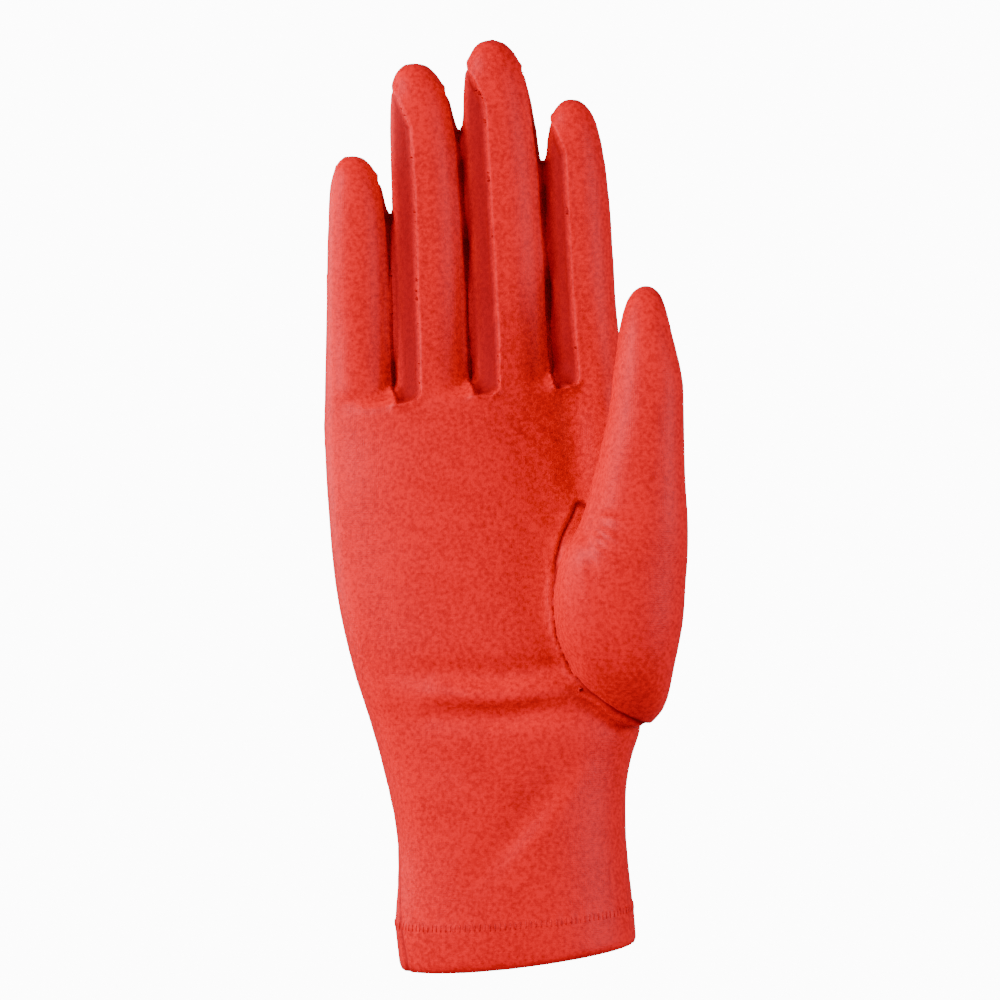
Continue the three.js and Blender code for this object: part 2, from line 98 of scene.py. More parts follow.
# Body sections: level (0 hem, 1 wrist crease, 2 crotch line), flare, slim, side, front, squareness.
BODY = np.array([
    (0, 0.09, 0, 0.001, 0, 2.15),
    (0.375, 0.12, 0, -0.012, 0, 2.15),
    (0.69, 0.04, 0.03, -0.014, 0, 2.15),
    (1, 0, 0.06, -0.019, 0, 2.15),
    (1.116, 0.12, 0.12, -0.034, 0.005, 2.2),
    (1.19, 0.3, 0.2, -0.038, 0.01, 2.25),
    (1.25, 0.51, 0.28, -0.036, 0.02, 2.3),
    (1.384, 0.726, 0.46, -0.074, 0.035, 2.4),
    (1.5625, 0.905, 0.71, -0.109, 0.03, 2.5),
    (1.786, 1, 0.93, -0.1275, 0.02, 2.6),
    (1.93, 0.97, 1.1, -0.14, 0.01, 2.6),
])
BODY_TOP = np.array([(0, 1, 0.86), (0.1, 0.985, 0.7), (0.17, 0.96, 0.42)])
# Dents: side, level, reach, tall, depth in mm, lean.
DENTS = [
    (0.11, 1.83, 0.22, 0.2, PALM_HOLLOW, 0),
    (0.16, 1.98, 0.14, 0.06, 0.4 * PALM_HOLLOW, 0.1),
    (-0.06, 1.39, 0.3, 0.022, HEEL_FOLD, 0.03),
    (-0.04, 1.29, 0.26, 0.022, 0.9 * HEEL_FOLD, 0.03),
    (-0.05, 1.335, 0.3, 0.02, -0.6 * HEEL_FOLD, 0.03),
    (0.02, 1.06, 0.16, 0.1, 0.8 * HEEL_FOLD, 1.1),
]
# Fingers: length, width, root share, lean, bend.
FINGERS = [
    (60.2, 16, 0.234, 0.11, 3),
    (83, 18.6, 0.254, 0.22, 2.2),
    (88.7, 19.4, 0.269, 0.24, 1.4),
    (74.2, 16.1, 0.243, 0.19, 1.1),
]
# A fingertip: distance below the tip and width, shares of the finger's width.
TIP = np.array([(0, 0), (0.03, 0.26), (0.12, 0.48), (0.3, 0.68), (0.65, 0.84), (1.2, 0.95), (1.9, 1)])
# Thumb sections: level, side, wide, away, deep.
THUMB_ROWS = np.array([
    (0, 0.02, 0.36, 0.5, 0.5),
    (0.035, 0, 0.72, 0.38, 0.82),
    (0.077, -0.06, 1, 0.32, 1.06),
    (0.13, -0.13, 1.24, 0.3, 1.25),
    (0.21, -0.17, 1.49, 0.3, 1.38),
    (0.285, -0.17, 1.58, 0.34, 1.41),
    (0.375, -0.13, 1.56, 0.5, 1.34),
    (0.46, -0.01, 1.32, 0.78, 1.17),
    (0.56, 0.05, 1.13, 0.97, 1.05),
    (0.645, 0.1, 1, 1.06, 1),
    (0.725, 0.14, 0.9, 1.15, 0.92),
    (0.785, 0.15, 0.855, 1.2, 0.855),
    (0.84, 0.14, 0.75, 1.25, 0.785),
    (0.895, 0.12, 0.64, 1.31, 0.69),
    (0.948, 0.12, 0.51, 1.37, 0.55),
    (0.98, 0.13, 0.36, 1.44, 0.42),
    (0.995, 0.13, 0.17, 1.52, 0.24),
])

# Folds on the front: points across and up in mm, half width in mm, height in mm (below 0 a valley).
FOLDS = [
    ([(-22, 75.5), (-6, 74), (13, 77)], 2.2, -0.9),
    ([(-21, 69.5), (-5, 68.6), (12, 71)], 2.0, 0.8),
    ([(-21, 64.5), (-4, 63.5), (11, 66)], 2.2, -0.9),
    ([(11, 51), (1, 38), (-9.5, 25)], 3.4, -0.8),
    ([(17, 50), (8, 38), (-2, 27)], 2.6, 0.45),
    ([(-20, 55), (-12, 49), (-6, 40)], 2.4, -0.35),
    ([(-10, 143), (-1, 135), (9, 126)], 0.8, 0.55),
    ([(-6, 145), (3, 137), (11, 129)], 0.8, 0.5),
    ([(-12, 138), (-4, 131), (5, 123)], 0.8, 0.4),
    ([(13, 150), (14.5, 132), (16.5, 112)], 4.5, -2.2),
    ([(7.5, 151), (12, 146.5), (16, 142)], 1.3, 1.0),
    ([(15, 112), (20, 109.5), (26, 106)], 1.3, -0.85),
    ([(15, 110), (19, 105), (24, 100)], 1.2, -0.7),
    ([(16, 113.5), (22, 113), (28, 111)], 1.2, -0.6),
    ([(15, 111), (18, 97.5), (21.7, 87.5), (24, 80)], 1.6, -0.8),
    ([(5, 118), (9, 113), (13.5, 110)], 1.6, -0.5),
    ([(2, 112), (8, 108.5), (13, 107)], 1.5, 0.35),
    ([(-27, 120), (-14, 116), (0, 113)], 2.6, -0.45),
    ([(-30, 104), (-18, 99), (-4, 97)], 2.8, 0.3),
]

# Sewn lines inside one piece, in the same form.
LINES = [
    ([(32.6, 171.5), (34.2, 169.5), (36.6, 163.5)], 0.8, -0.7),
]

# The side seam at the little finger's side: height and place through the glove, in mm.
SIDE_SEAM = np.array([
    (-5, -8.5), (4, -8), (14, -6.5), (22, -4.5), (32, -2.5),
    (50, 0), (77, 2.6), (130, 2.6), (140, 0), (240, 0),
])

# Cloth pieces: name, CAD nodes that it stands for, width and length as cut, area as cut, in metres.
CLOTH = [
    ("trank", ("palm_panel", "back_panel"), (0.19, 0.245), 0.033),
    ("thumb_tube", ("thumb_piece",), (0.09, 0.125), 0.0068),
    ("fourchette_a", ("fourchette_little_ring",), (0.012, 0.16), 0.0015),
    ("fourchette_b", ("fourchette_ring_middle",), (0.012, 0.18), 0.0016),
    ("fourchette_c", ("fourchette_middle_index",), (0.012, 0.18), 0.0015),
]
SET_IN = [nodes[0] for _, nodes, _, _ in CLOTH[1:]]

# A fold's height fades towards its ends: least place along it, and how bluntly.
FOLD_END, FOLD_BLUNT = 0.06, 0.6
# How fast the front's relief fades round the sides, and how far past them it reaches.
FRONT_FADES, FRONT_PAST = 1.6, 0.1
# Relief beside the seams, in millimetres: places from the seam, and half widths.
SEAM_GAP = 0.3
GROOVE_WIDE = 0.55
RIDGE_PLACE, RIDGE_WIDE = 1.2, 0.7
SIDE_GROOVE_WIDE = 0.7
SIDE_RIDGE_PLACE, SIDE_RIDGE_WIDE = 1.5, 0.8
RIM_PLACE, RIM_WIDE = 0.55, 0.5
SUNK_RUN = 1.5
# How much narrower a fourchette shows in front than its solid, on each side.
STRIP_NARROW = 0.9
# The side seam is this share as deep as the others.
SIDE_SHARE = 0.8
# The skin's cells are halved up to here beside a seam.
REFINED_REACH = 2.0
# Vertices within these shares of a cell move onto a seam or onto the hem's edge.
SEAM_SNAP = 0.42
HEM_SNAP = 0.58
# The hem in millimetres: half widths of its step, pucker and turned edge, and their heights.
STEP_WIDE = 0.4
PUCKER_WIDE, PUCKER_HIGH, PUCKER_WAVES = 2.0, 0.11, 38
TURNED_WIDE, TURNED_DEEP = 0.9, 0.5
# The side seam shows left of this place, on skin that faces left, this far from the other seams.
SIDE_FROM, SIDE_FACING, SIDE_CLEAR = -20, -0.3, 1.5
FAR = 99.0
# Painted shade in the grooves of the seams and sewn lines and in the fourchettes' recess, and how dark the
# hem's rolled edge shows.
STRIP_GROOVE_PAINTED_SHADE, HEM_EDGE_DARK = 0.5, 0.75
STRIP_PAINTED_SHADE, STRIP_PAINTED_SHADE_RUN = 0.95, 0.9
SEWN_LINE_PAINTED_SHADE = 2
# Rings of the hem's inner layer: height, and distance inside the skin.
HEM_RINGS = [
    (0.5, 1.3), (0.9, 1.15), (2, 1.25), (4, 1.3), (6, 1.3), (8, 1.3), (10, 1.3), (11.4, 1.3), (12, 1.45),
]
# The fourchettes' rims are thin from this far above the crotch, and grow full over this run below it.
RIM_START, RIM_RUN = 14, 22
RIM_LEAST = 0.35
HEM_SIDES = 160

# A stitch: height along it and width, shares of its length and thickness, and how deep its middle sinks.
STITCH_ROWS = [(-0.5, 0.35), (-0.38, 0.85), (-0.15, 1), (0.15, 1), (0.38, 0.85), (0.5, 0.35)]
STITCH_SIDES = 8
STITCH_SINKS = 0.1
# The ring that the stitches follow, and the distance in metres from which each looks for the cloth.
ROW_SIDES = 720
LOOK_FROM = 0.005

# Brightness of the painted shade in the seams and fourchettes, and of the hem's inner layer and the thread,
# shares of the satin's.
PAINTED_SHADE_BRIGHT, TRIM_BRIGHT = 0.28, 0.8
# The satin's roughness is this much lower and higher over its mottling, and rises in the seams.
SMOOTHER, ROUGHER, SEAM_ROUGHER = -0.05, 0.07, 0.4
KNIT_DEPTH = 0.0001
SMOOTH_ANGLE = math.radians(55)


def curve(rows, column, place):
    """One column of a table at a place in its first column, as a smooth curve through the rows."""
    key = rows[:, 0]
    last = len(rows) - 1
    place = min(max(place, key[0]), key[last])
    i = 0
    while i < last - 1 and key[i + 1] < place:
        i += 1
    picks = [max(i - 1, 0), i, i + 1, min(i + 2, last)]
    k = [key[n] for n in picks]
    v = [rows[n][column] for n in picks]
    span = k[2] - k[1]

    def slope(a, b):
        return 0 if k[a] == k[b] else (v[b] - v[a]) / (k[b] - k[a])

    middle = slope(1, 2)
    ends = []
    for m in (slope(0, 2), slope(1, 3)):
        ends.append(0 if middle * m <= 0 else math.copysign(min(abs(m), 3 * abs(middle)), m))
    t = (place - k[1]) / span
    return (
        v[1] * (2 * t**3 - 3 * t**2 + 1)
        + v[2] * (3 * t**2 - 2 * t**3)
        + span * (ends[0] * (t**3 - 2 * t**2 + t) + ends[1] * (t**3 - t**2))
    )


def mix(a, b, t):
    return a + (b - a) * t


def clamp(v, low, high):
    return min(high, max(low, v))


def hump(distance, wide):
    """1 at no distance, falling off smoothly over the half width."""
    return np.exp(-((distance / wide) ** 2))


def level_of(z):
    """The body tables' level at a height: 0 at the hem, 1 at the wrist crease, 2 at the crotches."""
    return z / CUFF_LENGTH if z < CUFF_LENGTH else 1 + (z - CUFF_LENGTH) / PALM_LENGTH


CROTCH = CUFF_LENGTH + PALM_LENGTH


def body_middle(z):
    return curve(BODY, 3, level_of(z)) * PALM[0]


def body_half(z):
    return mix(WRIST[0], PALM[0], curve(BODY, 1, level_of(z))) / 2


def body_through(up):
    return mix(WRIST[1], PALM[1], curve(BODY, 2, up)) / 2


def slant(x):
    """How far the hem's edge rises at a place across, in mm."""
    return HEM_SLANT * np.clip(x / WRIST[0] + 0.5, 0, 1.1) ** 1.4


def oval(x, y, z, across, through, square, sides, turned=0.0):
    """A ring of points on a squarish oval, which leans sideways towards its back by the turn."""
    angle = 2 * np.pi * (np.arange(sides) + 0.5) / sides
    c, s = np.cos(angle), np.sin(angle)
    c = np.sign(c) * np.abs(c) ** (2 / square)
    s = np.sign(s) * np.abs(s) ** (2 / square)
    return np.stack([x + across * c + turned * through * s, y + through * s, np.full(sides, z)], axis=1)


def body_ring(z, width=1.0, depth=1.0, lift=0.0, inset=0.0, sides=84):
    """A ring round the cuff, wrist or palm at a height in mm, with its dents and the hem's slant."""
    up = level_of(z)
    through = body_through(up)
    points = oval(
        body_middle(z), -2 * through * curve(BODY, 4, up), z,
        body_half(z) * width - inset, through * depth - inset, curve(BODY, 5, up), sides,
    )
    front = np.clip(-points[:, 1] / (through * depth - inset), 0, 1)
    dent = np.zeros(sides)
    for side, level, reach, tall, deep, lean in DENTS:
        across = points[:, 0] - side * PALM[0]
        line = CUFF_LENGTH + (level - 1) * PALM_LENGTH + lean * across
        upward = (z + lift - line) / (tall * PALM_LENGTH)
        dent += deep * np.exp(-((across / (reach * PALM[0])) ** 2) - upward**2)
    points[:, 1] += dent * np.sqrt(front) * depth
    topward = clamp((up - 1 - PALM_WIDEST) / (1 - PALM_WIDEST), 0, 1)
    rise = slant(points[:, 0]) * max(0, 1 - z / CUFF_LENGTH)
    tilt = CROTCH_TILT * topward * (points[:, 0] - body_middle(z)) / (2 * body_half(z))
    points[:, 2] += rise + lift + tilt
    return points


def finger_places():
    """Each finger's borders at the crotch line and at its full width."""
    total = sum(width + FINGER_GAP for _, width, *_ in FINGERS)
    root = body_middle(CROTCH) - body_half(CROTCH)
    full = body_middle(CROTCH) - total / 2 - FINGERS_SHIFT * PALM[0]
    places = []
    for _, width, share, _, _ in FINGERS:
        root_to = root + share * 2 * body_half(CROTCH)
        places.append((root, root_to, full, full + width + FINGER_GAP))
        root, full = root_to, full + width + FINGER_GAP
    return places


FULL_HEIGHT = CROTCH + FINGERS_FULL * min(f[0] for f in FINGERS)


def finger_ring(finger, place, z, sides=44):
    """A ring round a finger at a height in mm."""
    length, width, _, lean, bend = finger
    root_from, root_to, full_from, full_to = place
    tip = CROTCH + length
    share = clamp((z - CROTCH) / (FULL_HEIGHT - CROTCH), FINGER_ROOT, 1)
    left, right = mix(root_from, full_from, share), mix(root_to, full_to, share)
    wide = curve(TIP, 1, (tip - z) / width)
    leaning = lean * width * clamp((z - FULL_HEIGHT) / (tip - FULL_HEIGHT), 0, 1) ** bend
    middle = (root_from + root_to) / 2
    off = abs(middle - body_middle(CROTCH)) / body_half(CROTCH)
    palm_depth = body_through(2) * max(0, 1 - off**CROTCH_SQUARE) ** (1 / CROTCH_SQUARE)
    grown = clamp(share, 0, 1)
    deep = (ROOT_DEEP + ROOT_THINS * min(share, 0)) * palm_depth
    through = mix(deep, width / 2 * wide * FINGER_ROUND, grown * (2 - grown))
    curl = -FINGER_CURL * max(0, (z - CROTCH) / MIDDLE_LENGTH) ** 2
    turned = FINGER_TURN * (1 + share) / 2
    across = max((right - left - FINGER_GAP) / 2 * wide, LEAST_HALF)
    through = max(through, LEAST_HALF)
    return oval((left + right) / 2 - leaning, curl, z, across, through, FINGER_SQUARE, sides, turned)


def thumb_ring(up, sides=48):
    """A ring round the thumb at a share of its length."""
    side, wide, away, deep = (curve(THUMB_ROWS, n, up) for n in (1, 2, 3, 4))
    widest = CUFF_LENGTH + PALM_WIDEST * PALM_LENGTH
    edge = body_middle(widest) + body_half(widest)
    deep *= THUMB[1]
    return oval(
        edge + side * THUMB[0], -away * PALM[1] / 2 - deep / 2, CUFF_LENGTH + THUMB_RISE + up * THUMB[2],
        wide * THUMB[0] / 2, deep / 2, FINGER_SQUARE, sides,
    )


def new_object(name, points, faces):
    mesh = bpy.data.meshes.new(name)
    mesh.from_pydata([tuple(p) for p in points], [], faces)
    mesh.update()
    obj = bpy.data.objects.new(name, mesh)
    bpy.context.scene.collection.objects.link(obj)
    return obj


def pick(*objects):
    """Only these objects are selected, the first is active."""
    bpy.ops.object.select_all(action="DESELECT")
    for obj in objects:
        obj.select_set(True)
    bpy.context.view_layer.objects.active = objects[0]


def tube_faces(count, sides, start=0, capped=True):
    """Faces through a number of rings, whose points are numbered on from the start."""
    top = start + (count - 1) * sides
    faces = []
    for ring in range(start, top, sides):
        for a in range(sides):
            b = (a + 1) % sides
            faces.append((ring + a, ring + b, ring + sides + b, ring + sides + a))
    if capped:
        faces.append(tuple(range(start + sides - 1, start - 1, -1)))
        faces.append(tuple(range(top, top + sides)))
    return faces


def loft(name, rings, capped=True):
    """An object whose skin runs through rings of points in mm."""
    faces = tube_faces(len(rings), len(rings[0]), capped=capped)
    return new_object(name, np.concatenate(rings) * MM, faces)


def apply(obj, kind, **settings):
    """Adds a modifier with its settings and applies it."""
    modifier = obj.modifiers.new(kind.title(), kind)
    for key, value in settings.items():
        setattr(modifier, key, value)
    pick(obj)
    bpy.ops.object.modifier_apply(modifier=modifier.name)


def coords(obj):
    flat = np.empty(len(obj.data.vertices) * 3)
    obj.data.vertices.foreach_get("co", flat)
    return flat.reshape(-1, 3)


def set_coords(obj, points):
    obj.data.vertices.foreach_set("co", points.ravel())
    obj.data.update()


def normals(obj):
    flat = np.empty(len(obj.data.vertices) * 3)
    obj.data.vertices.foreach_get("normal", flat)
    return flat.reshape(-1, 3)


def tree_of(*nodes):
    """A search tree of CAD nodes."""
    points, faces = [], []
    for name in nodes:
        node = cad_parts[name]
        start = len(points)
        points += [node.matrix_world @ v.co for v in node.data.vertices]
        faces += [tuple(start + i for i in p.vertices) for p in node.data.polygons]
    return BVHTree.FromPolygons(points, faces)


def nearest(tree, points):
    """Each point's nearest point on a tree, and its distance."""
    found = np.empty((len(points), 3))
    away = np.empty(len(points))
    for i, p in enumerate(points):
        spot, _, _, distance = tree.find_nearest(Vector(p))
        found[i] = spot
        away[i] = distance
    return found, away


def glove_skin(cloth):
    """The glove's whole outer skin: body, fingers and thumb grown together, open at the wrist."""
    inset = cloth.inset
    heights = np.concatenate([np.arange(BELOW_HEM, CROTCH, BODY_STEP), [CROTCH]])
    body = [body_ring(z) for z in heights]
    for rise in np.linspace(TOP_FROM, BODY_TOP[-1, 0], TOP_RINGS):
        width, depth = (np.interp(rise, BODY_TOP[:, 0], BODY_TOP[:, n]) for n in (1, 2))
        body.append(body_ring(CROTCH, width, depth, rise * MIDDLE_WIDTH))
    forms = [loft("skin", body)]
    for finger, place in zip(FINGERS, finger_places()):
        tip = CROTCH + finger[0]
        rounded = TIP[-1, 0] * finger[1]
        low = np.arange(mix(CROTCH, FULL_HEIGHT, FINGER_ROOT), tip - rounded, FINGER_STEP)
        high = tip - rounded * np.linspace(1, TIP_LAST, TIP_RINGS) ** 2
        rings = [finger_ring(finger, place, z) for z in np.concatenate([low, high])]
        forms.append(loft("skin_finger", rings))
    thumb = [thumb_ring(up) for up in np.linspace(0, THUMB_ROWS[-1, 0], THUMB_RINGS)]
    forms.append(loft("skin_thumb", thumb))
    for form in forms:
        set_coords(form, coords(form) - normals(form) * inset)
    pick(*forms)
    bpy.ops.object.join()
    skin = forms[0]
    apply(skin, "REMESH", mode="VOXEL", voxel_size=cloth.voxel)
    apply(skin, "SMOOTH", factor=0.5, iterations=cloth.rounds)
    set_coords(skin, coords(skin) + normals(skin) * inset)
    return skin


def fold_height(points, folds, facing):
    """Displacement by folds on the front, in metres, at points of the skin."""
    flat = points[:, [0, 2]] / MM
    total = np.zeros(len(points))
    for line, wide, height in folds:
        best = np.full(len(points), np.inf)
        along = np.zeros(len(points))
        steps = len(line) - 1
        for n, (a, b) in enumerate(zip(line, line[1:])):
            a, b = np.array(a, float), np.array(b, float)
            t = np.clip(((flat - a) @ (b - a)) / ((b - a) @ (b - a)), 0, 1)
            distance = np.linalg.norm(flat - a - t[:, None] * (b - a), axis=1)
            closer = distance < best
            best = np.where(closer, distance, best)
            along = np.where(closer, (n + t) / steps, along)
        taper = np.sin(np.pi * np.clip(along, FOLD_END, 1 - FOLD_END)) ** FOLD_BLUNT
        total += height * taper * hump(best, wide)
    return total * facing * MM


def seam_field(points, facing):
    """Distance from the nearest seam in mm, above 0 on the trank, which set-in piece is nearest,
    and the way in which the distance grows."""
    trank_spot, trank_away = nearest(tree_of(*CLOTH[0][1]), points)
    spots, aways = zip(*(nearest(tree_of(name), points) for name in SET_IN))
    aways = np.array(aways)
    closest = aways.argmin(axis=0)
    away = aways.min(axis=0)
    spot = np.array(spots)[closest, np.arange(len(points))]
    # Along the cloth, so that the facets of the solids don't tell.
    along = np.sqrt(np.abs(away**2 - trank_away**2)) / MM
    along = np.where(along < SEAM_GAP, along**2 / (2 * SEAM_GAP), along - SEAM_GAP / 2)
    field = np.sign(away - trank_away) * along
    grade = (points - spot) / np.maximum(away, 1e-6)[:, None]
    grade -= (points - trank_spot) / np.maximum(trank_away, 1e-6)[:, None]
    # In front a strip shows a little narrower than its solid.
    field += np.where(closest > 0, STRIP_NARROW, 0) * facing
    return field, closest, grade


def facing_front(normal):
    """1 where the skin faces the front, 0 where it faces the back."""
    return np.clip(-normal[:, 1] * FRONT_FADES + FRONT_PAST, 0, 1)


def refine_seams(skin):
    """Halves the skin's cells beside the seams."""
    points = coords(skin)
    field, _, _ = seam_field(points, facing_front(normals(skin)))
    near = np.abs(field) < REFINED_REACH
    form = bmesh.new()
    form.from_mesh(skin.data)
    form.verts.ensure_lookup_table()
    edges = [e for e in form.edges if near[e.verts[0].index] and near[e.verts[1].index]]
    bmesh.ops.subdivide_edges(form, edges=edges, cuts=1, use_grid_fill=True)
    form.to_mesh(skin.data)
    form.free()
    apply(skin, "SMOOTH", factor=0.5, iterations=2)


def snap_to_seams(points, normal, field, grade, reach):
    """Moves the vertices beside a seam along the skin onto it."""
    grade -= normal * np.sum(grade * normal, axis=1)[:, None]
    size = np.maximum(np.linalg.norm(grade, axis=1), 1e-6)
    onto = np.abs(field) < reach
    shift = -(field * MM / size)[:, None] * grade
    points[onto] += shift[onto]
    field[onto] = 0


def side_distance(points, normal, field):
    """Distance in mm from the side seam between palm and back, on the little finger's side."""
    up = points[:, 2] / MM
    seam_y = np.interp(up, SIDE_SEAM[:, 0], SIDE_SEAM[:, 1])
    seam_y -= FINGER_CURL * np.clip((up - CROTCH) / MIDDLE_LENGTH, 0, None) ** 2
    shows = (points[:, 0] < SIDE_FROM * MM) & (normal[:, 0] < SIDE_FACING) & (field > SIDE_CLEAR)
    return np.where(shows, np.abs(points[:, 1] / MM - seam_y), FAR)


def height_above_hem(points, reach):
    """Height in mm above the hem's slanting edge. The vertices beside the edge move onto it."""
    rise = slant(points[:, 0] / MM)
    above = (points[:, 2] / MM - rise) / (1 - rise / CUFF_LENGTH)
    edge = np.abs(above) < reach
    points[edge, 2] = rise[edge] * MM
    above[edge] = 0
    return above


def rim_height(points):
    """Share of a fourchette's rim at each point: thin along the fingers, full at the crotch."""
    tilt = CROTCH_TILT * (points[:, 0] / MM - body_middle(CROTCH)) / (2 * body_half(CROTCH))
    crotch = CROTCH + tilt + BODY_TOP[-1, 0] * MIDDLE_WIDTH
    low = np.clip((crotch + RIM_START - points[:, 2] / MM) / RIM_RUN, 0, 1)
    return RIM_LEAST + (1 - RIM_LEAST) * low


def shape_skin(skin, cloth):
    """Puts folds, seams, rims and the hem's step into the skin, and returns what parts it into pieces, with
    the painted shade of its seams and fourchettes.
    """
    points = coords(skin)
    normal = normals(skin)
    facing = facing_front(normal)
    field, closest, grade = seam_field(points, facing)
    cell = cloth.voxel / MM
    snap_to_seams(points, normal, field, grade, SEAM_SNAP * cell / 2)
    side = side_distance(points, normal, field)
    above = height_above_hem(points, HEM_SNAP * cell)

    strip = closest > 0
    groove = hump(field, GROOVE_WIDE)
    ridge = hump(field - RIDGE_PLACE, RIDGE_WIDE)
    side_groove = SIDE_SHARE * hump(side, SIDE_GROOVE_WIDE)
    side_ridge = SIDE_SHARE * hump(side - SIDE_RIDGE_PLACE, SIDE_RIDGE_WIDE)
    move = -cloth.groove * (groove + side_groove) + cloth.ridge * (ridge + side_ridge)
    move += fold_height(points, FOLDS, facing)
    lines = fold_height(points, LINES, facing) / MM
    move += lines * MM

    # A fourchette lies deeper than the fingers beside it, behind a thin rolled rim.
    rim = hump(field - RIM_PLACE, RIM_WIDE) * strip * facing
    move += cloth.rim * rim * rim_height(points)
    sunk = np.clip(-field / SUNK_RUN, 0, 1) * strip * facing
    move -= cloth.sunk * sunk

    # The turned-up hem is a little thicker, and puckers along its stitches.
    step = 1 / (1 + np.exp((above - HEM_DEPTH) / STEP_WIDE))
    angle = np.arctan2(points[:, 1], points[:, 0])
    pucker = np.sin(angle * PUCKER_WAVES) * hump(above - HEM_DEPTH, PUCKER_WIDE)
    turned = hump(above, TURNED_WIDE)
    move += cloth.hem_step * step + PUCKER_HIGH * MM * pucker - TURNED_DEEP * MM * turned
    points += normal * move[:, None]

    # Painted shade: the grooves of the seams and sewn lines and the sunk fourchettes in front are darkened
    # in the colour, and so is the hem's rolled edge.
    painted_shade = groove * np.where(strip, STRIP_GROOVE_PAINTED_SHADE, 1) + side_groove + HEM_EDGE_DARK * turned
    painted_shade += STRIP_PAINTED_SHADE * np.clip(-field / STRIP_PAINTED_SHADE_RUN, 0, 1) * strip * facing
    painted_shade += np.clip(-lines * SEWN_LINE_PAINTED_SHADE, 0, 1)
    return points, field, closest, above, np.clip(painted_shade, 0, 1)


def split_skin(skin, points, field, closest, above, painted_shade):
    """Parts the skin into its cloth pieces along the seams, and drops what lies below the hem's edge."""
    faces = [[] for _ in CLOTH]
    for polygon in skin.data.polygons:
        corners = list(polygon.vertices)
        key = np.abs(above[corners]) if min(abs(above[c]) for c in corners) == 0 else np.abs(field[corners])
        cuts = [corners]
        if key.min() == 0 and len(corners) > 3:
            first = int((key + np.roll(key, -2)).argmin()) if len(corners) == 4 else int(key.argmin())
            turn = corners[first:] + corners[:first]
            cuts = [[turn[0], turn[k], turn[k + 1]] for k in range(1, len(turn) - 1)]
        for cut in cuts:
            if above[cut].mean() < 0 or above[cut].max() <= 0:
                continue
            if field[cut].mean() >= 0:
                faces[0].append(cut)
            else:
                faces[1 + closest[cut[int(field[cut].argmin())]]].append(cut)
    bpy.data.objects.remove(skin)
    made = []
    for (name, *_), group in zip(CLOTH, faces):
        used = np.unique(np.concatenate(group))
        number = {int(old): new for new, old in enumerate(used)}
        piece = new_object(name, points[used], [[number[c] for c in face] for face in group])
        # The painted shade of the seams and fourchettes rides on each piece as its seam attribute.
        attribute = piece.data.attributes.new("seam", "FLOAT", "POINT")
        attribute.data.foreach_set("value", painted_shade[used].astype(np.float32))
        made.append(piece)
    return made


def finish_piece(piece, material, *nodes):
    """Gives a piece its material and shading, hides the CAD parts that it replaces, and rides it on the
    glove.
    """
    piece.data.materials.clear()
    piece.data.materials.append(material)
    pick(piece)
    bpy.ops.object.shade_smooth_by_angle(angle=SMOOTH_ANGLE)
    if nodes:
        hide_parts(*nodes)
    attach(piece, "root")


def node_with(tree, kind, **inputs):
    """A shader node with some of its inputs set, a blank in an input's name written as _."""
    node = tree.nodes.new("ShaderNode" + kind)
    for name, value in inputs.items():
        node.inputs[name.replace("_", " ")].default_value = value
    return node


def feed(tree, socket, value):
    """Links a socket to another, or sets it to a value."""
    if isinstance(value, bpy.types.NodeSocket):
        tree.links.new(value, socket)
    else:
        socket.default_value = value


def calculated(tree, operation, *values):
    node = tree.nodes.new("ShaderNodeMath")
    node.operation = operation
    for socket, value in zip(node.inputs, values):
        feed(tree, socket, value)
    return node.outputs[0]


def blended(tree, share, first, second):
    node = tree.nodes.new("ShaderNodeMix")
    node.data_type = "RGBA"
    for name, value in (("Factor", share), ("A", first), ("B", second)):
        feed(tree, node.inputs[name], value)
    return node.outputs["Result"]


def ranged(tree, value, **limits):
    node = node_with(tree, "MapRange", **limits)
    tree.links.new(value, node.inputs["Value"])
    return node.outputs["Result"]


def grain_group():
    """Node group: fine knit and soft mottling of the satin, as a height and a mask."""
    name = "satin_grain"
    group = bpy.data.node_groups.get(name)
    if group:
        return group
    group = bpy.data.node_groups.new(name, "ShaderNodeTree")
    sockets = group.interface
    sockets.new_socket("Knit", in_out="INPUT", socket_type="NodeSocketFloat").default_value = 620
    sockets.new_socket("Height", in_out="OUTPUT", socket_type="NodeSocketFloat")
    sockets.new_socket("Mottle", in_out="OUTPUT", socket_type="NodeSocketFloat")
    links = group.links
    entry = group.nodes.new("NodeGroupInput")
    leave = group.nodes.new("NodeGroupOutput")
    place = node_with(group, "TexCoord")
    rows = node_with(group, "TexWave", Distortion=1.4, Detail=1, Detail_Scale=3)
    rows.bands_direction = "Z"
    ribs = node_with(group, "TexWave", Distortion=1.2)
    ribs.bands_direction = "X"
    speck = node_with(group, "TexNoise", Scale=2600, Detail=2)
    cloud = node_with(group, "TexNoise", Scale=55, Detail=3)
    fleck = node_with(group, "TexNoise", Scale=1000, Detail=3)
    for node in (rows, ribs, speck, cloud, fleck):
        links.new(place.outputs["Object"], node.inputs["Vector"])
    for node in (rows, ribs):
        links.new(entry.outputs["Knit"], node.inputs["Scale"])
    weave = calculated(group, "MULTIPLY", rows.outputs["Fac"], ribs.outputs["Fac"])
    weave = calculated(group, "MULTIPLY", weave, 0.35)
    height = calculated(group, "MULTIPLY_ADD", speck.outputs["Fac"], 2.2, weave)
    links.new(height, leave.inputs["Height"])
    fine = calculated(group, "MULTIPLY", fleck.outputs["Fac"], 0.78)
    mottle = calculated(group, "MULTIPLY_ADD", cloud.outputs["Fac"], 0.22, fine)
    links.new(mottle, leave.inputs["Mottle"])
    return group


